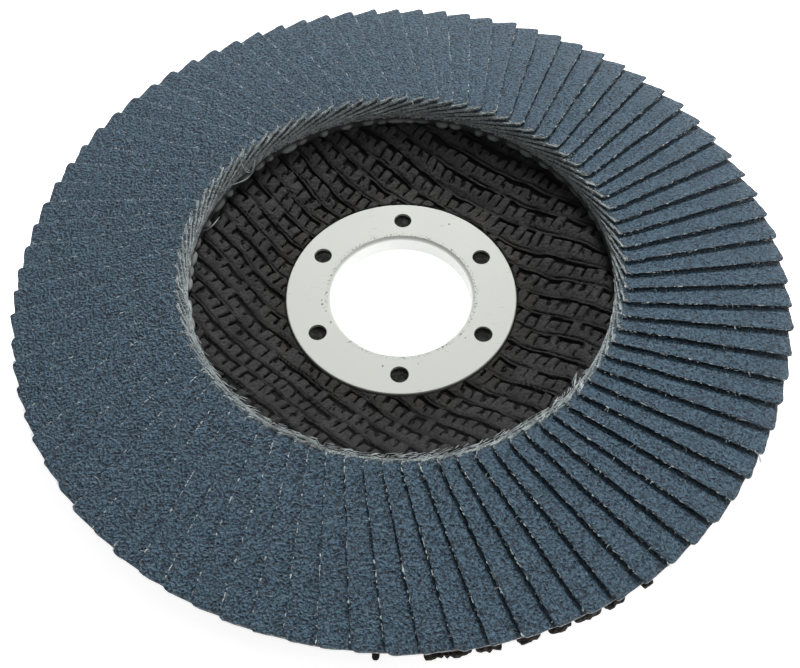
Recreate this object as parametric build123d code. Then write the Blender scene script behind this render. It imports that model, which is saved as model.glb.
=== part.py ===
from build123d import *
from math import asin, atan, atan2, ceil, cos, degrees, hypot, radians, sin, tan
import os

# Flap disc for an angle grinder, in millimetres. The spindle axis is +Z, the working face looks up,
# and the origin is the centre of the hub's back face.

# Hub and spindle bore
bore_diameter = 22.23
hub_thickness = 2.7
ring_diameter = 36.3
ring_thickness = 0.7
ring_edge_break = 0.15
collar_wall = 0.6
collar_mouth_break = 0.5
collar_end_recess = 0.2
hole_count = 6
hole_diameter = 2.84
hole_circle_offset = 0.09
hole_start_angle = 28.1
plug_recess = 0.25
plug_clearance = 0.01

# Pressed plate: a flat hub, a dish that lifts it, and a cone that falls gently to the rim
plate_diameter = 112.0
plate_thickness = 2.4
dish_foot_radius = 21.0
dish_brow_radius = 31.2
dish_rise = 4.46
back_bend_radius = 4.0
cone_angle = 2.9

# Coarse mesh pressed into the plate's face, a plain weave of flat yarns
row_pitch = 3.3
column_pitch = 3.6
yarn_gap = 0.9
float_gap = 0.7
float_height = 0.35
float_root = 0.8
weave_angle = -33.0
weave_margin = 0.3
weave_border_sides = 60

# Abrasive flaps, each a rectangle of coated cloth
flap_count = 85
flap_width = 18.5
flap_length = 24.5
flap_thickness = 0.6
flap_brow_margin = 2.3
flap_first_angle = 9.57
inner_slack = 0.09
outer_slack = 0.2
flap_seat_clearance = 0.01
flap_strips = 4
flaps_per_node = 5

# Adhesive under the flaps, with the ramp of it that squeezes out at their inner ends
adhesive_thickness = 0.3
adhesive_edge_inset = 0.8
ramp_clearance = 0.1
ramp_width = 1.5
ramp_foot_height = 1.0
ramp_height = 2.2
ramp_top_width = 0.3

bore_radius = bore_diameter / 2
ring_radius = ring_diameter / 2
hole_circle_radius = (bore_radius + ring_radius) / 2 + hole_circle_offset
plate_radius = plate_diameter / 2
collar_radius = bore_radius + collar_wall
ring_top = hub_thickness + ring_thickness
brow_height = hub_thickness + dish_rise
rise_slope = dish_rise / (dish_brow_radius - dish_foot_radius)
cone_slope = tan(radians(cone_angle))
flap_pitch = 360 / flap_count
flap_inner_reach = dish_brow_radius + flap_brow_margin
flap_outer_reach = flap_inner_reach + flap_length
half_width = flap_width / 2
ramp_back_radius = flap_inner_reach - ramp_clearance
ramp_foot_radius = ramp_back_radius - ramp_width


def face_height(radius):
    """Height of the plate's top face, without its mesh, at a radius."""
    if radius <= dish_foot_radius:
        return hub_thickness
    if radius <= dish_brow_radius:
        return hub_thickness + rise_slope * (radius - dish_foot_radius)
    return brow_height - cone_slope * (radius - dish_brow_radius)


def seat_height(radius):
    """Height of the adhesive's top face, on which the flaps' buried edges lie."""
    return brow_height - cone_slope * (radius - dish_brow_radius) + adhesive_thickness


def back_corner(corner, angle_before, angle_after):
    """The corner of the plate's back, one thickness below a corner of its face."""
    before = Vector(sin(angle_before), -cos(angle_before))
    after = Vector(sin(angle_after), -cos(angle_after))
    shift = (before + after) * (plate_thickness / (1 + before.dot(after)))
    return (corner[0] + shift.X, corner[1] + shift.Y)


def plate_blank():
    """The plate without its mesh, turned from its dished section."""
    rise_angle = atan(rise_slope)
    rim_height = face_height(plate_radius)
    face = [(collar_radius, hub_thickness), (dish_foot_radius, hub_thickness),
            (dish_brow_radius, brow_height), (plate_radius, rim_height)]
    foot_radius, foot_height = back_corner(face[1], 0, rise_angle)
    foot = (foot_radius - foot_height / rise_slope, 0)
    brow = back_corner(face[2], rise_angle, -radians(cone_angle))
    rim = (plate_radius, brow[1] - cone_slope * (plate_radius - brow[0]))
    back = [(collar_radius, 0), foot, brow, rim]
    face_line = Polyline(*[(x, 0, z) for x, z in face])
    back_line = FilletPolyline(*[(x, 0, z) for x, z in back], radius=back_bend_radius)
    walls = [Line(face_line @ 0, back_line @ 0), Line(face_line @ 1, back_line @ 1)]
    return revolve(make_face([face_line, back_line, *walls]), Axis.Z)


def float_seat(place, row_direction, span):
    """The plane on which one yarn float lies, level along the dish's chord under it."""
    radius = place.length
    uphill = place.normalized()
    inside, outside = face_height(radius - span / 2), face_height(radius + span / 2)
    slope = atan2(outside - inside, span)
    normal = Vector(0, 0, cos(slope)) - uphill * sin(slope)
    origin = (place.X, place.Y, (inside + outside) / 2)
    return Plane(origin=origin, x_dir=row_direction, z_dir=normal)


def weave_floats():
    """The mesh yarns where they pass over one another and stand proud of the resin."""
    inner = ring_radius + weave_margin
    outer = ramp_foot_radius - weave_margin
    reach = ceil(outer / min(row_pitch, column_pitch))
    row_direction = Vector(1, 0, 0).rotate(Axis.Z, weave_angle)
    row_float = (column_pitch - float_gap, row_pitch - yarn_gap)
    column_float = (column_pitch - yarn_gap - float_gap, row_pitch - float_gap / 2)
    floats = []
    for row in range(-reach, reach + 1):
        for column in range(-reach, reach + 1):
            place = Vector(column * column_pitch, row * row_pitch, 0).rotate(Axis.Z, weave_angle)
            if not inner < place.length < outer:
                continue
            length, width = row_float if (row + column) % 2 == 0 else column_float
            seat = float_seat(place, row_direction, min(length, width))
            block = Box(length, width, float_height + float_root)
            floats.append(seat * Pos(0, 0, (float_height - float_root) / 2) * block)
    border = RegularPolygon(outer, weave_border_sides)
    border -= RegularPolygon(inner, weave_border_sides, major_radius=False)
    shown = extrude(border, amount=brow_height + 2 * float_height)
    return [piece for piece in (shown & Compound(floats)).solids() if piece.volume > float_height]


def ring_holes(drill):
    """The drill set at each of the ring's small holes."""
    circle = PolarLocations(hole_circle_radius, hole_count, start_angle=hole_start_angle)
    return [Pos(0, 0, hub_thickness) * place * drill for place in circle]


def backing_plate():
    """The pressed plate, with the mesh on its face and resin standing in the ring's holes."""
    plug_height = ring_thickness - plug_recess
    plug = Cylinder(hole_diameter / 2 - plug_clearance, 2 * plug_height)
    return plate_blank() + ring_holes(plug) + weave_floats()


def hub_ring():
    """The steel washer on the hub, with its drawn collar through the bore."""
    section = [(bore_radius, collar_end_recess), (collar_radius, collar_end_recess),
               (collar_radius, hub_thickness), (ring_radius, hub_thickness),
               (ring_radius, ring_top - ring_edge_break), (ring_radius - ring_edge_break, ring_top),
               (bore_radius + collar_mouth_break, ring_top), (bore_radius, ring_top - collar_mouth_break)]
    blank = revolve(make_face(Polyline(*[(x, 0, z) for x, z in section], close=True)), Axis.Z)
    return blank - ring_holes(Cylinder(hole_diameter / 2, 4 * ring_thickness))


def adhesive_bed():
    """The glue layer on the plate, with the ramp of it that climbs the flaps' inner ends."""
    outer = plate_radius - adhesive_edge_inset
    crest = ramp_back_radius - ramp_top_width
    section = [(ramp_foot_radius, face_height(ramp_foot_radius)),
               (ramp_foot_radius, seat_height(ramp_foot_radius) + ramp_foot_height),
               (crest, seat_height(crest) + ramp_height),
               (ramp_back_radius, seat_height(crest) + ramp_height),
               (ramp_back_radius, seat_height(ramp_back_radius)),
               (outer, seat_height(outer)), (outer, face_height(outer))]
    return revolve(make_face(Polyline(*[(x, 0, z) for x, z in section], close=True)), Axis.Z)


def flap_corner_heights(reach, slack):
    """Undersides of the buried and the free corner at one end of a flap."""
    corner_radius = hypot(reach, half_width)
    spanned_pitches = 2 * degrees(asin(half_width / corner_radius)) / flap_pitch
    buried = seat_height(corner_radius) + flap_seat_clearance
    return buried, buried + (flap_thickness + slack) * spanned_pitches


def flap_end_points(reach, slack, lift):
    """Points across one end of a flap, from the buried corner to the free one."""
    buried, free = flap_corner_heights(reach, slack)
    shares = [strip / flap_strips for strip in range(flap_strips + 1)]
    return [Vector(reach, half_width - flap_width * share, buried + (free - buried) * share + lift)
            for share in shares]


def panel(*corners):
    """A flat face with straight edges."""
    return Face(Wire.make_polygon(corners))


def flap():
    """One twisted flap on its own centreline, folded along its strips."""
    inner_low = flap_end_points(flap_inner_reach, inner_slack, 0)
    outer_low = flap_end_points(flap_outer_reach, outer_slack, 0)
    inner_top = flap_end_points(flap_inner_reach, inner_slack, flap_thickness)
    outer_top = flap_end_points(flap_outer_reach, outer_slack, flap_thickness)
    panels = [panel(*inner_low, *reversed(inner_top)), panel(*outer_low, *reversed(outer_top)),
              panel(inner_low[0], outer_low[0], outer_top[0], inner_top[0]),
              panel(inner_low[-1], outer_low[-1], outer_top[-1], inner_top[-1])]
    for inner, outer in ((inner_low, outer_low), (inner_top, outer_top)):
        for strip in range(flap_strips):
            panels.append(panel(inner[strip], outer[strip], outer[strip + 1]))
            panels.append(panel(inner[strip], outer[strip + 1], inner[strip + 1]))
    return Solid(Shell(panels))


def flap_groups():
    """The flaps in the order they are laid, shared among nodes of a few each."""
    one_flap = flap()
    turned = [Rot(0, 0, flap_first_angle + flap_pitch * number) * one_flap
              for number in range(flap_count)]
    return [Compound(turned[start:start + flaps_per_node])
            for start in range(0, flap_count, flaps_per_node)]


def main():
    """Writes each piece of the disc to a file of its own."""
    os.makedirs("parts", exist_ok=True)
    pieces = {"backing_plate": backing_plate(), "hub_ring": hub_ring(), "adhesive_bed": adhesive_bed()}
    for number, group in enumerate(flap_groups(), start=1):
        pieces[f"flaps_{number:02d}"] = group
    for name, piece in pieces.items():
        export_step(piece, f"parts/{name}.step")


main()
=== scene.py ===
import math

import bpy
import numpy as np
from mathutils import Matrix, Vector


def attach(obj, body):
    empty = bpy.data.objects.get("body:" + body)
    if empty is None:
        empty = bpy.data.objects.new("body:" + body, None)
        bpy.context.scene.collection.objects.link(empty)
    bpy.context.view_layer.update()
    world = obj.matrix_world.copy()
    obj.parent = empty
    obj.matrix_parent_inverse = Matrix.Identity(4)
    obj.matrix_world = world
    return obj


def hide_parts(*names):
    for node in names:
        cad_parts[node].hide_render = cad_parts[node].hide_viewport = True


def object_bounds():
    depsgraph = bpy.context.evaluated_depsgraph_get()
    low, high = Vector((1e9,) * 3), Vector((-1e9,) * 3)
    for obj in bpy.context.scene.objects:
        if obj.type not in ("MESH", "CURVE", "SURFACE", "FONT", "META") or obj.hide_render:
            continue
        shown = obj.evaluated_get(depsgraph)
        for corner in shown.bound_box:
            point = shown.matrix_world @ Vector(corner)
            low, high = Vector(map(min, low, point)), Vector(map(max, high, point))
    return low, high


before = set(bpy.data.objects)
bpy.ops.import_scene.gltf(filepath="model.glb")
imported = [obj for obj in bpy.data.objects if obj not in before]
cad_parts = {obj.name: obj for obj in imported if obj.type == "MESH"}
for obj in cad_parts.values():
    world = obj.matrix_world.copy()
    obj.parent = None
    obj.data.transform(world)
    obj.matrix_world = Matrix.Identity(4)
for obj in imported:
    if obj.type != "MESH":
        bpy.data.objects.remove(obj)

cad_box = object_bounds()

# Sizes here are in millimetres, as a maker would give them, and the meshes are written in metres.
MM = 0.001

# Plate: its dished section, as the pressed solid has it
COLLAR_RADIUS = 11.715
HUB_THICKNESS = 2.7
PLATE_THICKNESS = 2.4
PLATE_RADIUS = 56.0
FOOT_RADIUS = 21.0
BROW_RADIUS = 31.2
RISE = 4.46
CONE_SLOPE = math.tan(math.radians(2.9))
BROW_HEIGHT = HUB_THICKNESS + RISE
RISE_SLOPE = RISE / (BROW_RADIUS - FOOT_RADIUS)

# How deep inside the plate its two pressed layers meet, and how far its bends are eased on face and back
MID_DEPTH = 1.3
FACE_BEND_REACH = 1.6
BACK_BEND_REACH = 2.0
BEND_SHARES = np.linspace(-1, 1, 9)
SLOPE_STEP = 0.1

# Points round the axis on the plate's face, on its back and on the glue
FACE_TURNS = 980
BACK_TURNS = 820
GLUE_TURNS = 900

# Ring: the washer that stays as the solid has it, the flecks round its bore and the resin in its holes
RING_RADIUS = 18.15
FLECK_RADIUS = 11.80
RING_TOP = 3.4
BORE_RADIUS = 11.115
HOLE_RADIUS = 1.41
HOLE_CIRCLE_RADIUS = 14.7225
HOLE_COUNT = 6
HOLE_START = math.radians(28.1)
PLUG_TOP = RING_TOP - 0.25

# Dark spots on the ring's lacquer: where they are, and how large
RING_SPOTS = [(8.1, 13.8, 0.22), (-12.5, -0.9, 0.17), (-12.4, -1.7, 0.25), (-12.1, -2.4, 0.16),
              (-11.8, -3.0, 0.19), (-12.6, 1.2, 0.14), (-11.0, -5.1, 0.19), (9.7, -8.4, 0.17),
              (2.4, -12.9, 0.16), (-3.0, -13.2, 0.14)]

# Mesh on the plate: flat strands over thin tie yarns, which pressing has dragged a little out of square
TIE_PITCH = 3.05
STRAND_PITCH = 1.74
WEAVE_ANGLE = math.radians(-39.0)
WEAVE_DRAG = 0.0023
YARN_HEIGHT = 0.50
TIE_HEIGHT = 0.60
TIE_HALF_WIDTH = 0.20
END_ARCH = 0.20

# How each strand may vary: its girth, where it ends, how hard it was pressed, its lean and its split,
# which opens one side of it and, above the least split for one, leaves a dark slot in it
LEAST_SLOT_SPLIT = 0.72
STRAND_RANGES = [(0.80, 0.98), (0.72, 1.02), (0.62, 1.0), (-0.30, 0.30), (0, 1)]

# Crust on the resin: height, width and seed of each layer of bumps
CRUST = [(0.04, 0.45, 5), (0.06, 0.85, 8), (0.07, 2.3, 6)]

# Flaps, as the solids have them
FLAP_COUNT = 85
FLAPS_PER_NODE = 5
FLAP_WIDTH = 18.5
FLAP_LENGTH = 24.5
FLAP_THICKNESS = 0.6
FLAP_INNER_REACH = 33.5
FIRST_ANGLE = math.radians(9.57)
INNER_SLACK = 0.09
OUTER_SLACK = 0.2
SEAT_LIFT = 0.31
FLAP_PITCH = 2 * math.pi / FLAP_COUNT
HALF_WIDTH = FLAP_WIDTH / 2
OUTER_REACH = FLAP_INNER_REACH + FLAP_LENGTH

# How much further in the cloth creeps over the glue than the solids do
HEEL_CREEP = 1.1

# How far in from the free edge the points of a flap's upper and under side lie
INSET = np.array([0.0, 0.05, 0.13, 0.26, 0.45, 0.7, 1.0, 1.4, 1.95, 2.7, 3.6, 4.6, 6.2, 10.0, FLAP_WIDTH])
LOW_INSET = INSET[::2]

# How far along a flap its points lie, closest together near both ends
END_STATIONS = np.array([0.0, 0.06, 0.15, 0.28, 0.45, 0.7, 1.0])
BETWEEN_STATIONS = np.linspace(1.4, FLAP_LENGTH - 1.4, 52)
STATIONS = np.concatenate([END_STATIONS, BETWEEN_STATIONS, FLAP_LENGTH - END_STATIONS[::-1]])

# How many threads each flap has. Broken ones lie along its free edge and its heel, the first few of the
# heel's at the top corner, and others stand out. Flaps on the near side carry a tangle at the heel.
EDGE_BROKEN, EDGE_STANDING = 24, 7
HEEL_BROKEN, HEEL_UPPERMOST, HEEL_STANDING = 16, 4, 6
HEEL_LOOSE, HEEL_TANGLED = 5, 18
TANGLED_FLAPS = range(48, 77)

# Thread meshes: points along a thread, sides round it, and steps between the points of a smooth route
THREAD_STEPS = np.linspace(0, 1, 5)
THREAD_SIDES = 4
ROUTE_STEPS = 6

# Threads that have come away: thickness, strands tangled round it, and its route as radius, turn, height
LOOSE_THREADS = [
    (0.21, 1, [(32.6, 135.8, 11.6), (32.2, 137.1, 10.2), (32.0, 139.1, 9.0), (32.1, 141.1, 10.2),
               (32.4, 141.5, 12.3), (33.4, 139.8, 12.8)]),
    (0.19, 0, [(32.1, 137.9, 9.2), (31.9, 139.0, 8.7), (31.9, 141.6, 8.6), (32.1, 145.0, 9.2),
               (32.6, 149.5, 10.5)]),
    (0.15, 1, [(32.8, 162.8, 8.0), (32.3, 161.0, 7.4), (31.8, 159.0, 7.6), (31.4, 156.6, 8.1)]),
    (0.14, 2, [(33.4, -173.0, 12.6), (32.5, -170.0, 12.4), (32.0, -165.5, 11.9), (32.6, -161.0, 12.3)]),
    (0.13, 13, [(33.7, -124.5, 12.7), (33.2, -120.6, 12.7), (32.9, -116.5, 12.8), (32.9, -112.6, 12.8),
                (33.5, -109.5, 12.7)]),
    (0.11, 4, [(33.7, -68.5, 12.5), (33.1, -66.0, 12.5), (32.8, -60.6, 12.5), (32.8, -54.4, 12.5),
               (33.5, -51.5, 12.6)]),
    (0.13, 2, [(33.3, -43.5, 12.2), (32.4, -42.3, 12.0), (31.7, -39.6, 12.6)]),
    (0.13, 2, [(33.4, -36.0, 12.1), (32.6, -37.3, 12.4), (32.9, -39.0, 12.7)]),
    (0.13, 1, [(57.3, -33.6, 10.3), (58.2, -34.2, 10.4), (58.9, -34.6, 9.8)]),
]

# Shreds of soaked cloth under the rim: where each is, in degrees, its length and its height
RIM_SHREDS = [(-94.0, 1.0, 0.5), (-86.8, 2.6, 0.8), (-83.8, 3.6, 1.0), (-79.9, 3.4, 1.1), (-74.7, 3.2, 1.1),
              (-70.5, 3.2, 1.0), (-66.5, 4.0, 1.1), (-62.6, 3.2, 1.0), (-57.5, 1.8, 0.7)]
SHRED_REACH = 58.05
SHRED_GIRTH = 0.62
SHRED_LIMIT = 58.68
SHRED_LEVEL = 7.35

# Glue: the rim of its bed, a station on it, the wall at the flaps' heels and the side with most lumps
BED_RADIUS = 55.2
BED_MIDDLE = 44.0
WALL_RADIUS = 33.0
WALL_RISE = 1.75
WALL_STEPS = 24
LUMP_SIDE = math.radians(130)

# Camera, fitted to the photograph
LENS = 48.56
CAMERA_DISTANCE = 0.166
CAMERA_ELEVATION = math.radians(57.32)
CAMERA_ROLL = math.radians(1.0)
CAMERA_TARGET = (-0.3, -7.5, RING_TOP)

# Lamps: name, place and size in metres, and power in watts
LAMPS = [("key", (0.06, 0.40, 0.42), 0.17, 4.15), ("fill", (0.52, -0.06, 0.30), 0.35, 0.8),
         ("top", (0.1, -0.1, 0.9), 0.8, 0.8)]
ROOM_GLOW = 0.21

# Floor: its half width in metres, and how far it lies under the hub's back
FLOOR_REACH = 1.6
FLOOR_DROP = 0.05

# Cells across a patch of noise, after which it repeats, and where the draws of each thing start
LATTICE = 64
FACE_SEED, BACK_SEED, GLUE_SEED, LOOSE_SEED = 11, 23, 71, 81
FLAP_SEED, EDGE_SEED, HEEL_SEED = 1000, 3000, 5000


# Numbers that vary smoothly

def seeded(number):
    """A random source of its own for each use, the same on every run."""
    return np.random.default_rng(number)


def drift(x, y, period, seed):
    """Smooth noise from -1 to 1 over a plane, with bumps about one period wide."""
    lattice = seeded(seed).uniform(-1, 1, (LATTICE, LATTICE))
    x, y = x / period, y / period
    column, row = np.floor(x).astype(int), np.floor(y).astype(int)
    ease_x, ease_y = (3 * t**2 - 2 * t**3 for t in (x - column, y - row))
    near, far = (lattice[line % LATTICE, column % LATTICE] * (1 - ease_x)
                 + lattice[line % LATTICE, (column + 1) % LATTICE] * ease_x for line in (row, row + 1))
    return near * (1 - ease_y) + far * ease_y


def ease(value, start, end):
    """0 up to start, 1 from end on, and an easy curve between."""
    share = np.clip((value - start) / (end - start), 0, 1)
    return share * share * (3 - 2 * share)


# Meshes

def grid_faces(rows, columns, around_rows=False, around_columns=False):
    """The quads of a grid of points counted row by row, closed on itself where asked."""
    row = np.arange(rows if around_rows else rows - 1)
    column = np.arange(columns if around_columns else columns - 1)
    row, column = (part.ravel() for part in np.meshgrid(row, column, indexing="ij"))
    next_row, next_column = (row + 1) % rows, (column + 1) % columns
    return np.stack([row * columns + column, row * columns + next_column,
                     next_row * columns + next_column, next_row * columns + column], axis=1)


def tube_faces(rings, sides):
    """The faces of a tube of points counted ring by ring, closed at both ends."""
    last = (rings - 1) * sides
    ends = [list(range(sides))[::-1], list(range(last, last + sides))]
    return grid_faces(rings, sides, False, True).tolist() + ends


def full_turn(count):
    """Evenly spaced angles once round."""
    return np.linspace(0, 2 * math.pi, count, endpoint=False)


def round_axis(radius, turns, height):
    """Points by their radius, their turn about the spindle axis and their height."""
    x, y = radius * np.cos(turns), radius * np.sin(turns)
    return np.stack(np.broadcast_arrays(x, y, height), axis=-1)


def turned(points, angle):
    """Points turned about the spindle axis."""
    cosine, sine = math.cos(angle), math.sin(angle)
    return points @ np.array([[cosine, sine, 0], [-sine, cosine, 0], [0, 0, 1]])


class Shape:
    """Points in millimetres, faces and values at the points, gathered until they become one piece."""

    def __init__(self):
        self.points, self.faces, self.values, self.count = [], [], {}, 0

    def add(self, points, faces, **values):
        """Adds points with their faces, which count from the first of these points."""
        points = np.asarray(points, float).reshape(-1, 3)
        self.points.append(points)
        faces = faces.tolist() if isinstance(faces, np.ndarray) else faces
        self.faces += [[corner + self.count for corner in face] for face in faces]
        self.count += len(points)
        for name, value in values.items():
            self.values.setdefault(name, []).append(np.asarray(value, float))

    def piece(self, name, finish, sharp_degrees):
        """Writes the mesh, gives it its finish and lets it ride on the disc."""
        mesh = bpy.data.meshes.new(name)
        mesh.from_pydata((np.concatenate(self.points) * MM).tolist(), [], self.faces)
        for key, parts in self.values.items():
            value = np.concatenate(parts)
            kind, field = ("FLOAT_VECTOR", "vector") if value.ndim == 2 else ("FLOAT", "value")
            mesh.attributes.new(key, kind, "POINT").data.foreach_set(field, value.ravel())
        mesh.shade_smooth()
        mesh.set_sharp_from_angle(angle=math.radians(sharp_degrees))
        mesh.materials.append(finish)
        mesh.validate()
        body = bpy.data.objects.new(name, mesh)
        bpy.context.scene.collection.objects.link(body)
        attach(body, "root")
        return body


# Finishes

class Shade:
    """One socket of a finish. Arithmetic on it adds the nodes that work it out."""

    def __init__(self, finish, socket):
        self.finish, self.socket = finish, socket

    def maths(self, operation, first, second):
        """One sum, difference or product of shades and numbers."""
        return self.finish.node("ShaderNodeMath", {0: first, 1: second}, operation=operation)

    def __add__(self, other):
        return self.maths("ADD", self, other)

    def __sub__(self, other):
        return self.maths("SUBTRACT", self, other)

    def __rsub__(self, other):
        return self.maths("SUBTRACT", other, self)

    def __mul__(self, other):
        return self.maths("MULTIPLY", self, other)

    __radd__, __rmul__ = __add__, __mul__


class Finish:
    """A material built from nodes."""

    def __init__(self, name, **constants):
        self.material = bpy.data.materials.new(name)
        self.material.use_nodes = True
        self.tree = self.material.node_tree
        self.shader = self.tree.nodes["Principled BSDF"]
        for key, value in constants.items():
            self.shader.inputs[key.replace("_", " ")].default_value = value

    def node(self, kind, inputs=None, output=0, stops=None, **settings):
        """Adds a node, sets it up, fills its sockets and gives one of its outputs."""
        node = self.tree.nodes.new(kind)
        for key, value in settings.items():
            setattr(node, key, value)
        for number, (position, colour) in enumerate(stops or []):
            ramp = node.color_ramp.elements
            stop = ramp[number] if number < 2 else ramp.new(position)
            stop.position, stop.color = position, (*colour, 1)
        for key, value in (inputs or {}).items():
            self.fill(node.inputs[key], value)
        return Shade(self, node.outputs[output])

    def fill(self, socket, value):
        """Links a socket to a shade, or sets it to a number, vector or colour."""
        if isinstance(value, Shade):
            self.tree.links.new(value.socket, socket)
        elif socket.type == "RGBA" and len(value) == 3:
            socket.default_value = (*value, 1)
        else:
            socket.default_value = value

    def wear(self, **inputs):
        """Feeds the shader's own sockets."""
        for key, value in inputs.items():
            self.fill(self.shader.inputs[key.replace("_", " ")], value)
        return self.material

    def value(self, name):
        """A number that the mesh holds at its points."""
        return self.node("ShaderNodeAttribute", output="Fac", attribute_name=name)

    def place(self, name):
        """A place that the mesh holds at its points."""
        return self.node("ShaderNodeAttribute", output="Vector", attribute_name=name)

    def object_place(self):
        """Where a point of the disc is, in millimetres."""
        place = self.node("ShaderNodeTexCoord", output="Object")
        return self.scaled(place, (1 / MM, 1 / MM, 1 / MM))

    def scaled(self, place, factors):
        """A place with each of its coordinates scaled."""
        return self.node("ShaderNodeVectorMath", {0: place, 1: factors}, operation="MULTIPLY")

    def length(self, place):
        """How far a place is from the origin."""
        return self.node("ShaderNodeVectorMath", {0: place}, output="Value", operation="LENGTH")

    def noise(self, place, scale, detail=2.0, roughness=0.5, distortion=0.0):
        """Cloudy noise, with this many bumps a millimetre."""
        inputs = {"Vector": place, "Scale": scale, "Detail": detail, "Roughness": roughness,
                  "Distortion": distortion}
        return self.node("ShaderNodeTexNoise", inputs, output="Fac")

    def cells(self, place, scale):
        """How far it is to the nearest of many scattered specks."""
        return self.node("ShaderNodeTexVoronoi", {"Vector": place, "Scale": scale}, output="Distance")

    def band(self, value, start, end):
        """0 on the start's side, 1 on the end's side."""
        inputs = {"Value": value, "From Min": start, "From Max": end}
        return self.node("ShaderNodeMapRange", inputs, interpolation_type="SMOOTHSTEP")

    def mix(self, share, first, second):
        """A colour between two colours."""
        inputs = {0: share, 6: first, 7: second}
        return self.node("ShaderNodeMix", inputs, output=2, data_type="RGBA")

    def bump(self, height, distance, strength=1.0, under=None):
        """A normal from a height that swings by the distance, in millimetres."""
        inputs = {"Height": height, "Distance": distance * MM, "Strength": strength}
        if under is not None:
            inputs["Normal"] = under
        return self.node("ShaderNodeBump", inputs, output="Normal")


def abrasive_finish():
    """Blue-grey grain under its size coat, with painted light on its crests and painted shade in its hollows
    and pits, over cloth whose threads show where it is cut.
    """
    f = Finish("abrasive_cloth", Specular_IOR_Level=0.62)
    place = f.place("cloth_place")
    depth = f.value("cut_depth")
    from_free, from_inner, from_outer = (
        f.node("ShaderNodeSeparateXYZ", {0: f.place("edge_distance")}, output=way) for way in range(3))
    coarse = f.noise(place, 2.7, detail=1.5, distortion=0.5)
    fine = f.noise(place, 8.0, detail=2.0)
    broad = f.noise(place, 0.22, detail=2.0)
    # Crests of the grain's bumps lighter and its hollows darker: partly the grain's own tone, partly painted
    # light and shade that follow the bump.
    crest_tone_and_light = f.band(coarse, 0.38, 0.62)
    # Dark specks in the small dents of the grain: painted shade in these pits.
    shaded_pits = f.band(f.cells(f.scaled(place, (1, 1, 0)), 1.35), 0.29, 0.18)
    grain = f.mix(crest_tone_and_light, (0.006, 0.020, 0.042), (0.060, 0.124, 0.180))
    grain = f.mix(broad * 0.35, grain, (0.034, 0.070, 0.096))
    tint = f.noise(place, 0.9, detail=1.0)
    grain = f.mix(f.band(tint, 0.55, 0.75) * 0.35, grain, (0.022, 0.078, 0.094))
    grain = f.mix(shaded_pits * 0.85, grain, (0.003, 0.009, 0.016))
    threads = f.noise(f.scaled(place, (1.5, 1.5, 3.0)), 1.6, detail=2.0, roughness=0.6)
    cloth = f.node("ShaderNodeValToRGB", {"Fac": threads}, stops=[
        (0.44, (0.007, 0.009, 0.013)), (0.55, (0.036, 0.040, 0.050)),
        (0.61, (0.17, 0.185, 0.195)), (0.68, (0.46, 0.50, 0.50))])
    pale = f.node("ShaderNodeValToRGB", {"Fac": threads}, stops=[
        (0.34, (0.03, 0.032, 0.032)), (0.48, (0.19, 0.20, 0.197)), (0.62, (0.50, 0.54, 0.53))])
    layer_line = f.band(depth, 0.10, 0.17) * f.band(depth, 0.59, 0.53)
    lined = f.mix(layer_line, (0.008, 0.010, 0.012), pale)
    cloth = f.mix(f.band(from_inner, 0.05, 0.0), cloth, lined)
    cloth = f.mix(f.band(from_outer, 0.05, 0.0), cloth, pale)
    inside = f.band(depth - (0.08 + 0.10 * tint), 0.0, 0.05)
    shreds = f.noise(f.scaled(place, (1.0, 2.5, 1.0)), 1.6, detail=3.0)
    frayed = f.band(from_free + shreds * 0.8, 0.42, 0.30) + f.band(from_outer + shreds * 0.8, 0.42, 0.30)
    worn_heel = f.band(from_inner + shreds * 1.1, 1.25, 0.55)
    colour = f.mix(worn_heel * 0.80, grain, (0.034, 0.045, 0.051))
    colour = f.mix(frayed * 0.7, colour, (0.20, 0.25, 0.27))
    colour = f.mix(f.band(from_inner + shreds * 0.9, 0.66, 0.50) * 0.85, colour, (0.36, 0.41, 0.41))
    colour = f.mix(inside, colour, cloth)
    relief = coarse * 0.75 + fine * 0.15 - shaded_pits * 0.3
    normal = f.bump(relief, 0.80)
    rough = 0.40 + 0.22 * fine + inside * 0.3
    return f.wear(Base_Color=colour, Roughness=rough, Normal=normal)


def fibre_finish():
    """Undyed cotton and polyester thread ends, a little soiled."""
    f = Finish("thread_ends", Specular_IOR_Level=0.2)
    place = f.object_place()
    soil = f.noise(place, 0.7, detail=3.0)
    colour = f.mix(f.band(soil, 0.35, 0.65), (0.56, 0.62, 0.62), (0.24, 0.27, 0.28))
    return f.wear(Base_Color=colour, Roughness=0.7 + 0.2 * soil)


def soaked_finish():
    """Cloth soaked in brown resin and broken off."""
    f = Finish("soaked_cloth", Specular_IOR_Level=0.3)
    place = f.object_place()
    crumbs = f.noise(place, 2.4, detail=4.0, roughness=0.7)
    colour = f.mix(f.band(crumbs, 0.38, 0.68), (0.012, 0.011, 0.010), (0.085, 0.072, 0.063))
    normal = f.bump(crumbs, 0.5)
    return f.wear(Base_Color=colour, Roughness=0.55 + 0.3 * crumbs, Normal=normal)


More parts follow.
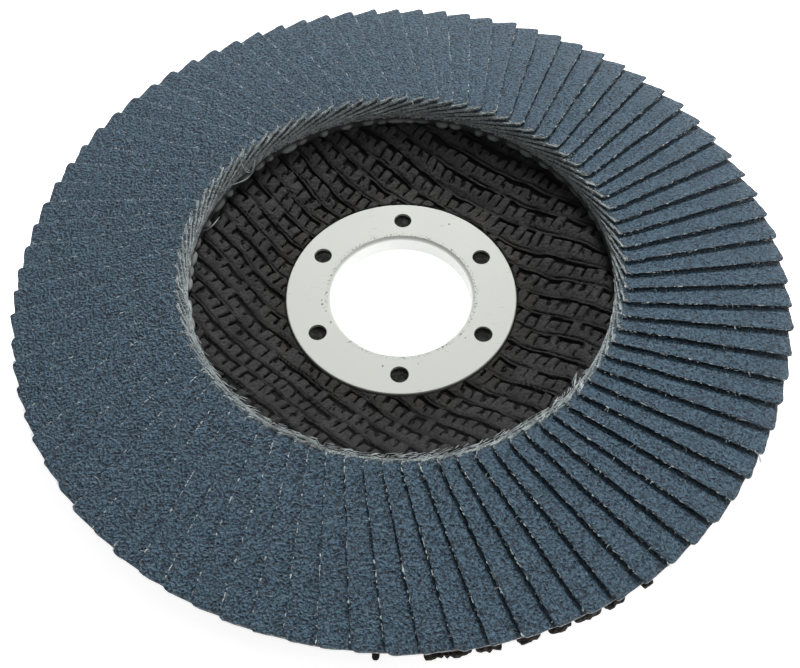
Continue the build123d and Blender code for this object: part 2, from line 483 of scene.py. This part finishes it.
def weave_finish():
    """Black resin over glass mesh, glossier on the worn tops and matt in the gaps, with painted shade that
    makes the gaps near black.
    """
    f = Finish("resin_mesh", Specular_IOR_Level=0.22)
    run = f.place("yarn_run")
    height = f.value("yarn_height")
    place = f.object_place()
    strands = f.noise(f.scaled(run, (0.7, 4.0, 3.0)), 1.0, detail=3.0, roughness=0.6)
    crust = f.noise(place, 2.2, detail=4.0, roughness=0.65)
    patch = f.noise(place, 0.16, detail=2.0)
    radius = f.length(f.scaled(place, (1, 1, 0)))
    top = f.band(height, 0.10, 0.34)
    # Painted shade: the low parts between the yarns take a near-black colour, far darker than the yarn tops.
    floor = f.mix(crust, (0.0006, 0.0006, 0.0007), (0.003, 0.0029, 0.0028))
    yarn = f.mix(f.band(crust, 0.36, 0.64), (0.0055, 0.0059, 0.0058), (0.040, 0.041, 0.0395))
    yarn = f.mix(f.band(strands, 0.3, 0.7) * 0.6, yarn, (0.034, 0.035, 0.034))
    yarn = f.mix(f.band(patch, 0.42, 0.66) * 0.5, yarn, (0.0085, 0.0084, 0.0082))
    yarn = f.mix(f.band(crust, 0.70, 0.80) * 0.4, yarn, (0.055, 0.057, 0.057))
    dusty = f.band(radius, 22.5, RING_RADIUS) * f.band(f.noise(place, 0.4, detail=2.0), 0.40, 0.62)
    yarn = f.mix(dusty * 0.6, yarn, (0.030, 0.023, 0.017))
    colour = f.mix(top, floor, yarn)
    normal = f.bump(strands, 0.12, strength=0.8)
    normal = f.bump(crust, 0.38, strength=0.9, under=normal)
    rough = 0.70 - 0.20 * top + 0.3 * (crust - 0.5)
    return f.wear(Base_Color=colour, Roughness=rough, Normal=normal)


def ring_finish():
    """Off-white lacquered steel with flecks round the bore and a few scuffs, a painted shade line round its
    outer edge, and its bore painted near-white as painted light.
    """
    f = Finish("ring_steel", Specular_IOR_Level=0.35)
    place = f.object_place()
    flat = f.scaled(place, (1, 1, 0))
    radius = f.length(flat)
    cloud = f.noise(place, 0.16, detail=3.0)
    colour = f.mix(cloud, (0.460, 0.480, 0.440), (0.505, 0.520, 0.485))
    # Painted light: the bore wall is painted near-white, brighter than the rest of the steel, as if lit.
    colour = f.mix(f.band(radius, BORE_RADIUS + 0.3, BORE_RADIUS), colour, (0.86, 0.87, 0.85))
    from_line = f.node("ShaderNodeMath", {0: radius - FLECK_RADIUS}, operation="ABSOLUTE")
    fleck = f.band(f.noise(place, 3.0, detail=3.0, roughness=0.7), 0.54, 0.61)
    fleck = fleck * f.band(from_line, 0.38, 0.10) * f.band(f.noise(place, 0.12), 0.36, 0.50)
    scuff = f.band(f.noise(f.scaled(place, (0.9, 5.0, 1.0)), 0.6, detail=2.0), 0.66, 0.70)
    scuff = scuff * f.band(f.noise(place, 0.2), 0.48, 0.60) * 0.45
    # Painted shade: a dark line round the ring's outer edge, where it meets the resin.
    rim = f.band(radius, RING_RADIUS - 0.16, RING_RADIUS - 0.02)
    colour = f.mix(scuff, colour, (0.26, 0.26, 0.25))
    colour = f.mix(fleck * 0.85, colour, (0.03, 0.028, 0.026))
    for x, y, size in RING_SPOTS:
        ends = {0: flat, 1: (x, y, 0)}
        away = f.node("ShaderNodeVectorMath", ends, output="Value", operation="DISTANCE")
        spot = f.band(away + 0.5 * (cloud - 0.5), size, size * 0.5)
        colour = f.mix(spot * 0.85, colour, (0.035, 0.033, 0.03))
    colour = f.mix(rim * 0.7, colour, (0.16, 0.16, 0.15))
    orange_peel = f.noise(place, 1.3, detail=2.0)
    normal = f.bump(orange_peel, 0.02, strength=0.4)
    return f.wear(Base_Color=colour, Roughness=0.48 + 0.2 * cloud, Normal=normal)


def glue_finish():
    """Grey epoxy, paler where it pooled in lumps, with dust on it."""
    f = Finish("grey_glue", IOR=1.5)
    place = f.object_place()
    pooled = f.value("pooled")
    dust = f.noise(place, 2.2, detail=4.0, roughness=0.65)
    cloud = f.noise(place, 0.35, detail=2.0)
    band = f.mix(dust, (0.010, 0.0105, 0.0105), (0.055, 0.057, 0.056))
    lump = f.mix(cloud, (0.10, 0.106, 0.105), (0.22, 0.23, 0.226))
    colour = f.mix(pooled, band, lump)
    normal = f.bump(dust, 0.06, strength=0.6)
    return f.wear(Base_Color=colour, Roughness=0.42 + 0.25 * dust, Normal=normal)


def floor_finish():
    """Plain white studio paper."""
    f = Finish("paper", Specular_IOR_Level=0.1, Emission_Strength=0.85)
    place = f.object_place()
    shade = f.noise(place, 0.01, detail=2.0)
    colour = f.mix(shade, (0.93, 0.93, 0.93), (0.95, 0.95, 0.95))
    return f.wear(Base_Color=colour, Roughness=0.8 + 0.1 * shade, Emission_Color=colour)


# Plate

def face_height(radius):
    """Height of the plate's face, with its two bends eased."""
    steps = [face_corner_height(radius + FACE_BEND_REACH * share) for share in BEND_SHARES]
    return sum(steps) / len(steps)


def face_corner_height(radius):
    """Height of the plate's face with sharp bends."""
    rise = np.clip(radius - FOOT_RADIUS, 0, BROW_RADIUS - FOOT_RADIUS) * RISE_SLOPE
    return HUB_THICKNESS + rise - CONE_SLOPE * np.maximum(radius - BROW_RADIUS, 0)


def back_height(radius):
    """Height of the plate's back, one thickness under its face, with eased bends."""
    steepness = math.hypot(1, RISE_SLOPE)
    steps = []
    for share in BEND_SHARES:
        place = radius + BACK_BEND_REACH * share
        rise = HUB_THICKNESS + RISE_SLOPE * (place - FOOT_RADIUS) - PLATE_THICKNESS * steepness
        cone = BROW_HEIGHT - CONE_SLOPE * (place - BROW_RADIUS) - PLATE_THICKNESS
        steps.append(np.maximum(np.minimum(rise, cone), 0))
    return sum(steps) / len(steps)


def way_up(height, radius):
    """The direction square to a face at a radius, as its outward and its upward part."""
    slope = (height(radius + SLOPE_STEP) - height(radius - SLOPE_STEP)) / (2 * SLOPE_STEP)
    length = math.hypot(1, slope)
    return -slope / length, 1 / length


def weave(x, y, seed):
    """The mesh's height from 0 to 1, and where each point is along and across the yarn on top."""
    random = seeded(seed)
    wander_x, wander_y = (0.50 * drift(x, y, 9, seed + part) + 0.22 * drift(x, y, 2.4, seed + 7 + part)
                          for part in (1, 2))
    along = x * math.cos(WEAVE_ANGLE) + y * math.sin(WEAVE_ANGLE) + wander_x
    across = y * math.cos(WEAVE_ANGLE) - x * math.sin(WEAVE_ANGLE) - WEAVE_DRAG * x * x + wander_y
    row = np.floor(across / TIE_PITCH).astype(int)
    up = across / TIE_PITCH - row
    lane = along / STRAND_PITCH + random.uniform(0, 1, LATTICE)[row % LATTICE]
    column = np.floor(lane).astype(int)
    cell = row % LATTICE, column % LATTICE
    girth, end, press, lean, split = (random.uniform(low, high, (LATTICE, LATTICE))[cell]
                                      for low, high in STRAND_RANGES)
    off = lane - column - 0.5 + lean * (up - 0.5)
    open_side = ease(up, 0.05 + 0.40 * split, 0.35 + 0.40 * split)
    out = open_side * np.abs(2 * off / girth)**6 + np.clip((up - end + END_ARCH) / END_ARCH, 0, 2)**3
    strand_top = np.clip(1 - out, 0, 1)**0.40 * (0.62 + 0.38 * ease(up, 0.0, 0.55)) * press
    slot = np.exp(-((off + 0.28) / 0.10)**2 - ((up - end + 0.28) / 0.17)**2)
    strand_top = strand_top * (1 - 0.95 * np.where(split > LEAST_SLOT_SPLIT, slot, 0))
    off_tie = np.where(up > 0.5, up - 1, up) * TIE_PITCH
    tie_shows = ease(drift(along, across * 5, 3.2, seed + 3), -0.4, 0.3)
    tie_arch = np.clip(1 - (off_tie / TIE_HALF_WIDTH)**2, 0, 1)**0.5
    tie_top = TIE_HEIGHT * tie_arch * (0.15 + 0.85 * tie_shows)
    strand_top = strand_top * (1 - (0.30 + 0.40 * tie_shows) * np.exp(-((off_tie - 0.30) / 0.11)**2))
    on_tie = tie_top > strand_top
    run = np.stack([np.where(on_tie, along, across), np.where(on_tie, off_tie, off * STRAND_PITCH),
                    row + 0.37 * column * ~on_tie], axis=-1)
    return np.maximum(tie_top, strand_top), run


def mid_section():
    """Stations inside the plate, where its two pressed layers meet."""
    return [(COLLAR_RADIUS, MID_DEPTH, -1, 0, 0), (FOOT_RADIUS, MID_DEPTH, 0, 1, 0),
            (BROW_RADIUS, BROW_HEIGHT - MID_DEPTH, 0, 1, 0)]


def plate_section():
    """Stations round the plate's section: radius, height, way out, and how much of the mesh shows."""
    rim_top, rim_low = face_corner_height(PLATE_RADIUS), back_height(PLATE_RADIUS)
    stations = mid_section()[::-1]
    stations += [(COLLAR_RADIUS, HUB_THICKNESS, -1, 0, 0)]
    stations += [(radius, HUB_THICKNESS, 0, 1, 0) for radius in (13.0, 17.6)]
    for radius in np.arange(18.0, 33.3, 0.17):
        shown = ease(radius, RING_RADIUS + 0.02, RING_RADIUS + 0.4)
        stations.append((radius, face_height(radius), *way_up(face_height, radius), shown))
    stations += [(PLATE_RADIUS - 0.2, rim_top, 0, 1, 0), (PLATE_RADIUS, rim_top - 0.15, 1, 0, 0),
                 (PLATE_RADIUS, rim_low + 1.0, 1, 0, 0)]
    return np.array(stations)


def back_section():
    """The same round the mesh layer on the plate's back, from its rim in to its bore."""
    rim_low = back_height(PLATE_RADIUS)
    stations = [(PLATE_RADIUS, rim_low + 1.0, 1, 0, 0), (PLATE_RADIUS, rim_low + 0.15, 1, 0, 0)]
    for radius in np.arange(55.8, 12.2, -0.42):
        out_r, out_z = way_up(back_height, radius)
        shown = 0.5 * ease(radius, 13, 15) * ease(radius, 55.8, 54.5) * ease(back_height(radius), -0.01, 0.6)
        stations.append((radius, back_height(radius), -out_r, -out_z, shown))
    return np.array(stations + [(COLLAR_RADIUS, 0.0, -1, 0, 0)] + mid_section())


def pressed_layer(shape, stations, turn_count, seed):
    """Turns a section about the axis, with the mesh standing out of it where it shows."""
    turns = full_turn(turn_count)
    radius, height, out_r, out_z, shown = (part[:, None] for part in stations.T)
    x, y = radius * np.cos(turns), radius * np.sin(turns)
    relief, run = weave(x, y, seed)
    crust = sum(size * drift(x, y, width, draw) for size, width, draw in CRUST)
    pit = 0.20 * ease(0.3 - relief, 0.0, 0.3)
    collar_of_resin = 0.30 * np.exp(-np.abs(radius - RING_RADIUS) / 1.4) * (out_z > 0)
    lift = shown * (relief * YARN_HEIGHT + crust - pit + collar_of_resin)
    points = round_axis(radius + lift * out_r, turns, height + lift * out_z)
    # This height also picks where the painted shade of the gaps goes.
    worn = np.where(shown > 0, relief * YARN_HEIGHT, 0.05)
    shape.add(points, grid_faces(len(stations), turn_count, True, True)[:, ::-1],
              yarn_height=worn.ravel(), yarn_run=run.reshape(-1, 3))


def make_plate(finish):
    """The backing plate with its mesh in relief on both faces, and resin in the ring's holes."""
    shape = Shape()
    pressed_layer(shape, plate_section(), FACE_TURNS, FACE_SEED)
    for number in range(HOLE_COUNT):
        add_plug(shape, HOLE_START + number * 2 * math.pi / HOLE_COUNT, number)
    plate = shape.piece("mesh_plate", finish, 60)
    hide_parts("backing_plate")
    back = Shape()
    pressed_layer(back, back_section(), BACK_TURNS, BACK_SEED)
    back.piece("mesh_back", finish, 60)


def add_plug(shape, angle, number):
    """Resin that keyed up into one of the ring's holes, with a skin that sank as it cured."""
    rings, sides = 7, 40
    turns = full_turn(sides)
    share = np.linspace(1, 0.02, rings)[:, None]
    reach = (HOLE_RADIUS - 0.01) * share
    x = HOLE_CIRCLE_RADIUS * math.cos(angle) + reach * np.cos(turns)
    y = HOLE_CIRCLE_RADIUS * math.sin(angle) + reach * np.sin(turns)
    height = PLUG_TOP - 0.22 - 0.14 * (1 - share**2) + 0.11 * drift(x, y, 0.7, 30 + number)
    wall = np.stack([x[0], y[0], np.full(sides, HUB_THICKNESS)], axis=-1)[None]
    points = np.concatenate([wall, np.stack([x, y, height], axis=-1)])
    run = points.reshape(-1, 3)
    # This value picks how much of the painted gap shade darkens the plug.
    worn = 0.14 + 0.14 * drift(run[:, 0], run[:, 1], 0.5, 40 + number)
    shape.add(points, grid_faces(rings + 1, sides, False, True), yarn_height=worn, yarn_run=run)


# Flaps

def seat_height(radius):
    """Height of the glue's face under the flaps, with the flaps' seat on it."""
    return BROW_HEIGHT - CONE_SLOPE * (radius - BROW_RADIUS) + SEAT_LIFT


def edge_heights(reach, slack):
    """Undersides of a flap's buried and free edge at one end."""
    corner = math.hypot(reach, HALF_WIDTH)
    spanned = 2 * math.asin(HALF_WIDTH / corner) / FLAP_PITCH
    buried = seat_height(corner)
    return buried, buried + (FLAP_THICKNESS + slack) * spanned


def underside(along, share):
    """Height of a flap's underside, share being 0 at its buried edge and 1 at its free one."""
    inner_buried, inner_free = edge_heights(FLAP_INNER_REACH, INNER_SLACK)
    outer_buried, outer_free = edge_heights(OUTER_REACH, OUTER_SLACK)
    inner = inner_buried + (inner_free - inner_buried) * share
    outer = outer_buried + (outer_free - outer_buried) * share
    return inner + (outer - inner) * along


def flap_angle(number):
    """Where a flap's centreline points."""
    return FIRST_ANGLE + FLAP_PITCH * number


def flap_groups():
    """The groups of flaps, counted from 0, each with the numbers of its flaps."""
    starts = range(0, FLAP_COUNT, FLAPS_PER_NODE)
    return [(group, range(start, start + FLAPS_PER_NODE)) for group, start in enumerate(starts)]


def lie(x, y):
    """How much the whole stack lies high or low at a place, which all its layers share."""
    turn = np.arctan2(y, x)
    reach = np.hypot(x, y)
    swell = 0.10 * np.sin(3 * turn + 0.7) + 0.07 * np.sin(7 * turn + 2.1)
    return swell * ease(reach, 30, 60) + 0.035 * drift(12 * turn, reach / 8, 1.0, 41)


def flap_sides(number):
    """The upper and the under side of a flap, with worn corners, as grids of points on its own centreline."""
    random = seeded(FLAP_SEED + number)
    along = (STATIONS / FLAP_LENGTH)[:, None]
    tip, heel = random.uniform(0.45, 1.15), random.uniform(0.5, 1.0)
    tip_share, slip, skew = random.uniform(0.6, 1.0), random.uniform(-0.09, 0.09), random.uniform(-0.1, 0.1)
    lift = random.uniform(-0.02, 0.05)
    sides = []
    for inset, thickness in ((INSET[None, :], FLAP_THICKNESS), (LOW_INSET[None, :], 0.0)):
        outer_cut = corner_cut(inset, tip) * tip_share + 0.9 * corner_cut(FLAP_WIDTH - inset, 2.5)
        ragged_out = 0.07 * drift(inset + 40 * number, 0 * inset, 0.7, 51)
        ragged_in = 0.09 * drift(inset + 31 * number, 0 * inset, 0.9, 52)
        start = corner_cut(inset, heel) + ragged_in - HEEL_CREEP
        end = FLAP_LENGTH - outer_cut + ragged_out + slip
        x = FLAP_INNER_REACH + start + (end - start) * along
        wave = 0.05 * drift(x + 17 * number, 0 * x, 6.0, 53) + 0.045 * drift(x + 23 * number, 0 * x, 1.1, 54)
        edge = HALF_WIDTH + wave + skew * (along - 0.5)
        y = -edge + inset * (edge + HALF_WIDTH) / FLAP_WIDTH
        if not thickness:
            y = y + 0.14 * np.exp(-inset / 0.2)
        flat = turned(np.stack([x, y, 0 * x], axis=-1), flap_angle(number))
        height = underside(along, 1 - inset / FLAP_WIDTH) + lie(flat[..., 0], flat[..., 1]) + thickness
        height = height + lift * np.exp(-inset / 1.6) * ease(along, 0.6, 1.0)
        if thickness:
            from_end = np.minimum(STATIONS, FLAP_LENGTH - STATIONS)[:, None]
            height = height - 0.10 * np.exp(-inset / 0.10) - 0.13 * np.exp(-from_end / 0.22)
            height = height + 0.018 * drift(x + 9 * number, y, 1.2, 55)
        sides.append(np.stack([x, y, height], axis=-1))
    return sides


def flap_shape(shape, number):
    """One flap: a cut rectangle of coated cloth, twisted down into the glue, with a frayed free edge."""
    above, below = flap_sides(number)
    fray = 0.07 * drift(above[..., 0] + 13 * number, 0 * above[..., 0], 0.45, 56)[:, :1]
    middle = (above[:, :1] + below[:, :1]) / 2
    middle[..., 1] += fray - 0.05
    far_middle = (above[:, -1:] + below[:, -1:]) / 2
    loop = np.concatenate([above[:, ::-1], middle, below, far_middle], axis=1)
    place = np.stack([loop[..., 0], loop[..., 1] + 30 * number, loop[..., 2] + 7 * number], axis=-1)
    faces = grid_faces(len(STATIONS), loop.shape[1], False, True).tolist()
    faces += end_faces(0, False) + end_faces((len(STATIONS) - 1) * loop.shape[1], True)
    depth, edges = cut_distances(loop.shape[:2])
    shape.add(turned(loop, flap_angle(number)), faces, cloth_place=place.reshape(-1, 3),
              cut_depth=depth.ravel(), edge_distance=edges.reshape(-1, 3))


def cut_distances(size):
    """How deep under the grain the points of a flap's loops lie, and how far from its three cut edges."""
    half = FLAP_THICKNESS / 2
    depth = np.concatenate([np.zeros(len(INSET)), [half], np.full(len(LOW_INSET), FLAP_THICKNESS), [half]])
    from_free = np.concatenate([INSET[::-1], [0], LOW_INSET, [FLAP_WIDTH]])
    edges = [from_free, STATIONS[:, None], (FLAP_LENGTH - STATIONS)[:, None]]
    return np.broadcast_to(depth, size), np.stack([np.broadcast_to(edge, size) for edge in edges], axis=-1)


def corner_cut(inset, radius):
    """How far a rounded corner of the given radius cuts in from the end, at a distance from the side."""
    return radius * (1 - np.sqrt(1 - np.clip(1 - inset / radius, 0, 1)**2))


def end_faces(first, outward):
    """Faces that close one end of a flap, first being the point where its loop starts."""
    count, low_count = len(INSET), len(LOW_INSET)
    above = [first + count - 1 - step for step in range(count)]
    below = [first + count + 1 + step for step in range(low_count)]
    middle, far_middle = first + count, first + count + low_count + 1
    faces = [[*above[2 * step:2 * step + 3], below[step + 1], below[step]] for step in range(low_count - 1)]
    faces += [[middle, above[0], below[0]], [above[-1], far_middle, below[-1]]]
    return faces if outward else [face[::-1] for face in faces]


def make_flaps(finish):
    """The flaps in the groups of the solids that they stand for."""
    for group, numbers in flap_groups():
        shape = Shape()
        for number in numbers:
            flap_shape(shape, number)
        flaps = shape.piece(f"cloth_flaps_{group + 1:02d}", finish, 35)
        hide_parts(f"flaps_{group + 1:02d}")


# Thread ends

def strand(shape, line, thickness):
    """A thread along a line of points, tapered at both ends."""
    line = np.asarray(line, float)
    heading = np.gradient(line, axis=0)
    heading /= np.linalg.norm(heading, axis=1, keepdims=True) + 1e-9
    side = np.cross(heading, [0.31, 0.22, 0.93])
    side /= np.linalg.norm(side, axis=1, keepdims=True) + 1e-9
    up = np.cross(side, heading)
    share = np.linspace(0, 1, len(line))
    girth = thickness / 2 * np.clip(np.sin(math.pi * (0.08 + 0.84 * share)) * 1.6, 0.2, 1)
    turns = full_turn(THREAD_SIDES)
    ring = side[:, None] * np.cos(turns)[None, :, None] + up[:, None] * np.sin(turns)[None, :, None]
    shape.add(line[:, None] + ring * girth[:, None, None], tube_faces(len(line), THREAD_SIDES))


def smooth_line(points):
    """A smooth curve through a few points."""
    ends = 2 * points[:1] - points[1:2], 2 * points[-1:] - points[-2:-1]
    padded = np.concatenate([ends[0], points, ends[1]])
    share = np.linspace(0, 1, ROUTE_STEPS, endpoint=False)[:, None]
    line = [0.5 * (2 * start + (end - before) * share + (2 * before - 5 * start + 4 * end - after) * share**2
                   + (3 * start - before - 3 * end + after) * share**3)
            for before, start, end, after in zip(padded, padded[1:], padded[2:], padded[3:])]
    return np.concatenate([*line, points[-1:]])


def edge_point(number, along, inset, depth):
    """A point on a flap near its free edge, in the disc's frame."""
    x = FLAP_INNER_REACH + FLAP_LENGTH * along - HEEL_CREEP * (1 - along)
    y = -HALF_WIDTH + inset
    place = turned(np.array([x, y, 0.0]), flap_angle(number))
    height = underside(along, 1 - inset / FLAP_WIDTH) + lie(place[0], place[1])
    return np.array([place[0], place[1], height + FLAP_THICKNESS - depth])


def stray_line(root, heading, sweep, reach):
    """The line of a thread end that leaves its root and curls away."""
    return [root + heading * reach * step + sweep * reach * step**2 for step in THREAD_STEPS]


def edge_threads(shape, number):
    """Broken threads that lie along a flap's free edge and stand out of its cut."""
    random = seeded(EDGE_SEED + number)
    for _ in range(EDGE_BROKEN):
        start = random.uniform(0.0, 0.98)
        reach = random.uniform(0.14, 0.60) / FLAP_LENGTH
        high = random.random() < 0.6
        depth = random.uniform(-0.01, 0.09) if high else random.uniform(0.15, 0.5)
        bow, tilt, swerve = random.uniform(0.0, 0.10), random.uniform(-0.16, 0.16), random.uniform(-0.1, 0.1)
        line = [edge_point(number, min(start + reach * step, 1.0),
                           -0.02 - bow * math.sin(math.pi * step) + swerve * (step - 0.5),
                           depth + tilt * (step - 0.5)) for step in THREAD_STEPS]
        strand(shape, line, random.uniform(0.07, 0.18) * (1.5 if random.random() < 0.15 else 1.0))
    for _ in range(EDGE_STANDING):
        start = random.uniform(0.02, 0.98)
        root = edge_point(number, start, 0.05, random.uniform(0.0, 0.3))
        heading = edge_point(number, start, -1.0, 0.3) - root
        heading /= np.linalg.norm(heading)
        sweep = random.normal(0, 0.35, 3)
        reach = random.uniform(0.2, 0.65)
        strand(shape, stray_line(root, heading, sweep, reach), random.uniform(0.04, 0.07))


def heel_threads(shape, number):
    """Thread ends along a flap's inner end, where it stands in the wall of the dish."""
    random = seeded(HEEL_SEED + number)
    for order in range(HEEL_BROKEN):
        uppermost = order < HEEL_UPPERMOST
        start = random.uniform(0.0, 0.5) if uppermost else random.uniform(0.3, 10.5)
        reach = random.uniform(0.2, 0.5) if uppermost else random.uniform(0.5, 1.9)
        depth = 0.08 if uppermost else random.uniform(0.2, 0.5)
        bow = random.uniform(0.0, 0.07)
        line = []
        for step in THREAD_STEPS:
            point = edge_point(number, 0.0, start + reach * step, depth)
            inward = 1 - (0.01 + bow * math.sin(math.pi * step)) / np.hypot(point[0], point[1])
            line.append(point * [inward, inward, 1])
        strand(shape, line, random.uniform(0.05, 0.10) * (1.5 if uppermost else 1.0))
    tangled = number in TANGLED_FLAPS
    for _ in range(HEEL_TANGLED if tangled else HEEL_LOOSE):
        start, reach = random.uniform(-0.1, 2.3), random.uniform(0.5, 1.6)
        back = random.uniform(-0.85 if tangled else -0.2, 0.35) / FLAP_LENGTH
        turn = random.uniform(-0.35, 0.35) / FLAP_LENGTH
        depth, bow = random.uniform(0.0, 0.18), random.uniform(-0.02, 0.12)
        line = [edge_point(number, back + turn * step, start + reach * step,
                           depth - bow * math.sin(math.pi * step)) for step in THREAD_STEPS]
        strand(shape, line, random.uniform(0.06, 0.12))
    for _ in range(HEEL_STANDING):
        root = edge_point(number, 0.0, random.uniform(0.0, 3.0), random.uniform(0.0, 0.3))
        heading = -root / np.linalg.norm(root) + random.normal(0, 0.6, 3)
        reach = random.uniform(0.15, 0.5)
        sweep = random.normal(0, 0.5, 3)
        strand(shape, stray_line(root, heading, sweep, reach), random.uniform(0.04, 0.07))


def make_threads(finish):
    """The fuzz of each group of flaps, and the threads that have come away."""
    for group, numbers in flap_groups():
        shape = Shape()
        for number in numbers:
            edge_threads(shape, number)
            heel_threads(shape, number)
        shape.piece(f"thread_ends_{group + 1:02d}", finish, 80)
    shape = Shape()
    random = seeded(LOOSE_SEED)
    for thickness, tangle, route in LOOSE_THREADS:
        radius, turn, height = np.array(route).T
        points = round_axis(radius, np.radians(turn), height)
        strand(shape, smooth_line(points), thickness)
        for _ in range(tangle):
            strand(shape, smooth_line(points + random.normal(0, 0.22, points.shape)), thickness * 0.45)
    shape.piece("loose_threads", finish, 80)


def make_shreds(finish):
    """The ragged ends of buried cloth that stand out under the flaps' tips."""
    shape = Shape()
    run = np.linspace(-0.5, 0.5, 30)[:, None]
    turns = full_turn(14)
    taper = np.clip(1 - np.abs(2 * run)**4, 0.03, 1)**0.5
    for number, (place, length, height) in enumerate(RIM_SHREDS):
        along, around = run * length + 9 * number + 0 * turns, 1.2 * np.cos(turns) + 0 * run
        ragged = 1 + 0.55 * drift(along, around, 0.5, 61)
        reach = np.minimum(SHRED_REACH + SHRED_GIRTH * taper * ragged * np.cos(turns), SHRED_LIMIT)
        angle = math.radians(place) + run * length / reach
        level = SHRED_LEVEL + 0.5 * height * taper * ragged * np.sin(turns)
        shape.add(round_axis(reach, angle, level), tube_faces(len(run), len(turns)))
    shape.piece("rim_shreds", finish, 50)


# Glue

def glue_lumps(turns, height, foot):
    """How far the lumps along the foot of the wall stand out of it."""
    random = seeded(GLUE_SEED)
    lump = np.zeros_like(height)
    spot = 0.0
    while spot < 2 * math.pi - 0.05:
        half_width = random.uniform(0.7, 1.6) / WALL_RADIUS
        size, middle = random.uniform(0.35, 0.95), foot + random.uniform(0.75, 1.0)
        out = np.abs((turns - spot) / half_width)**2.3 + np.abs((height - middle) / (0.34 + 0.28 * size))**2.2
        lump = np.maximum(lump, size * np.clip(1 - out, 0, 1)**0.5)
        spot += random.uniform(2.2, 4.3) / WALL_RADIUS
    return lump * (0.35 + 0.65 * ease(np.cos(turns - LUMP_SIDE), -0.25, 0.55))


def make_glue(finish):
    """The glue bed, its band on the inner wall and the lumps that squeezed out at its foot."""
    turns = full_turn(GLUE_TURNS)
    rise = WALL_RISE + 0.20 * np.sin(5 * turns + 1.0) + 0.25 * drift(turns * 20, 0 * turns, 1.0, 72)
    foot = face_height(WALL_RADIUS - 1.0)
    steps = np.linspace(0, 1, WALL_STEPS)[:, None]
    height = foot - 0.1 + (rise + 0.1) * steps
    bulge = 0.12 + 0.05 * drift(turns * 33 * np.ones_like(steps), steps * 4, 0.9, 73)
    lump = glue_lumps(turns, height, foot)
    band = round_axis(WALL_RADIUS - 0.12 - np.maximum(bulge + lump * 0.95, 0), turns, height)
    section = [(WALL_RADIUS, height[-1]), (WALL_RADIUS, seat_height(WALL_RADIUS) - 0.01),
               (BED_MIDDLE, seat_height(BED_MIDDLE) - 0.01), (BED_RADIUS, seat_height(BED_RADIUS) - 0.01),
               (BED_RADIUS, face_corner_height(BED_RADIUS)),
               (BED_MIDDLE, face_corner_height(BED_MIDDLE) - 0.1), (WALL_RADIUS, foot - 0.15)]
    bed = np.stack([round_axis(reach, turns, level) for reach, level in section])
    points = np.concatenate([band, bed])
    pooled = np.concatenate([ease(lump, 0.10, 0.45), np.zeros((len(section), len(turns)))])
    shape = Shape()
    shape.add(points, grid_faces(len(points), len(turns), True, True)[:, ::-1], pooled=pooled.ravel())
    glue = shape.piece("glue_bed", finish, 60)
    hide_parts("adhesive_bed")


# Scene

def make_floor(finish):
    """A wide sheet of paper that the disc lies on."""
    mesh = bpy.data.meshes.new("paper_floor")
    corners = [(x * FLOOR_REACH, y * FLOOR_REACH, 0) for x, y in ((-1, -1), (1, -1), (1, 1), (-1, 1))]
    mesh.from_pydata(corners, [], [(0, 1, 2, 3)])
    mesh.materials.append(finish)
    floor = bpy.data.objects.new("paper_floor", mesh)
    bpy.context.scene.collection.objects.link(floor)
    floor.location.z = cad_box[0][2] - FLOOR_DROP * MM


def aim_camera():
    """The camera where the photograph was taken from."""
    back = Vector((0, -math.cos(CAMERA_ELEVATION), math.sin(CAMERA_ELEVATION)))
    down = Vector((0, -math.sin(CAMERA_ELEVATION), -math.cos(CAMERA_ELEVATION)))
    right = Vector((1, 0, 0))
    turned_right = right * math.cos(CAMERA_ROLL) + down * math.sin(CAMERA_ROLL)
    turned_down = down * math.cos(CAMERA_ROLL) - right * math.sin(CAMERA_ROLL)
    place = Vector(CAMERA_TARGET) * MM + back * CAMERA_DISTANCE
    camera = bpy.data.objects.new("camera", bpy.data.cameras.new("camera"))
    camera.data.lens = LENS
    camera.data.clip_start = 0.005
    camera.matrix_world = Matrix((
        (turned_right.x, -turned_down.x, back.x, place.x), (turned_right.y, -turned_down.y, back.y, place.y),
        (turned_right.z, -turned_down.z, back.z, place.z), (0, 0, 0, 1)))
    bpy.context.scene.collection.objects.link(camera)
    bpy.context.scene.camera = camera


def hang_light(name, place, size, power):
    """A soft square lamp that faces the disc."""
    lamp = bpy.data.lights.new(name, "AREA")
    lamp.size, lamp.energy = size, power
    light = bpy.data.objects.new(name, lamp)
    light.location = place
    light.rotation_euler = (-Vector(place)).to_track_quat("-Z", "Y").to_euler()
    bpy.context.scene.collection.objects.link(light)


def light_studio():
    """A soft key from the far side, and a white room."""
    for name, place, size, power in LAMPS:
        hang_light(name, place, size, power)
    world = bpy.data.worlds.new("room")
    world.use_nodes = True
    room = world.node_tree.nodes["Background"]
    room.inputs["Color"].default_value = (1, 1, 1, 1)
    room.inputs["Strength"].default_value = ROOM_GLOW
    bpy.context.scene.world = world
    bpy.context.scene.view_settings.view_transform = "Standard"


def main():
    """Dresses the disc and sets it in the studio."""
    aim_camera()
    light_studio()
    make_floor(floor_finish())
    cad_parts["hub_ring"].data.materials.clear()
    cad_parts["hub_ring"].data.materials.append(ring_finish())
    make_plate(weave_finish())
    make_glue(glue_finish())
    make_flaps(abrasive_finish())
    make_threads(fibre_finish())
    make_shreds(soaked_finish())


main()
